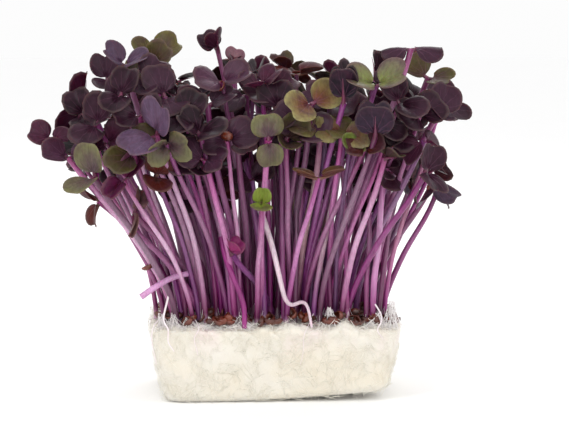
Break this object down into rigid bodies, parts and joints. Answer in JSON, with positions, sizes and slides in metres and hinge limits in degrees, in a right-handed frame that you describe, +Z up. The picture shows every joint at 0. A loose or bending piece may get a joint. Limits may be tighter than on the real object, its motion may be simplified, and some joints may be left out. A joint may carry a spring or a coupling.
{
  "type": "microgreens on a growing pad",
  "caption": "Clump of purple radish sprouts with paired seed leaves, rooted in a white fibre growing pad that stands flat on a surface.",
  "frame": {"origin": "middle of the pad's flat underside", "axes": "+Z up along the stems, +X along the pad's long side to the right, -Y towards the front that the picture shows"},
  "size_m": [0.1365, 0.0925, 0.1141],
  "materials": {
    "pad": "matte",
    "sprout": "satin",
    "hull": "satin"
  },
  "bodies": {
    "root": {"growing_pad": "pad", "seed_hulls_01": "hull", "seed_hulls_02": "hull", "seed_hulls_03": "hull", "seed_hulls_04": "hull", "sprouts_01": "sprout", "sprouts_02": "sprout", "sprouts_03": "sprout", "sprouts_04": "sprout", "sprouts_05": "sprout", "sprouts_06": "sprout", "sprouts_07": "sprout", "sprouts_08": "sprout", "sprouts_09": "sprout", "sprouts_10": "sprout", "sprouts_11": "sprout", "sprouts_12": "sprout", "sprouts_13": "sprout", "sprouts_14": "sprout", "sprouts_15": "sprout", "sprouts_16": "sprout", "sprouts_17": "sprout", "sprouts_18": "sprout", "sprouts_19": "sprout", "sprouts_20": "sprout", "sprouts_21": "sprout", "sprouts_22": "sprout", "sprouts_23": "sprout", "sprouts_24": "sprout", "sprouts_25": "sprout", "sprouts_26": "sprout", "sprouts_27": "sprout", "sprouts_28": "sprout", "sprouts_29": "sprout", "sprouts_30": "sprout", "sprouts_31": "sprout", "sprouts_32": "sprout", "sprouts_33": "sprout", "sprouts_34": "sprout", "sprouts_35": "sprout", "sprouts_36": "sprout", "sprouts_37": "sprout", "sprouts_38": "sprout", "sprouts_39": "sprout", "sprouts_40": "sprout", "sprouts_41": "sprout", "sprouts_42": "sprout", "sprouts_43": "sprout", "sprouts_44": "sprout", "sprouts_45": "sprout", "sprouts_46": "sprout", "sprouts_47": "sprout", "sprouts_48": "sprout"}
  },
  "joints": []
}
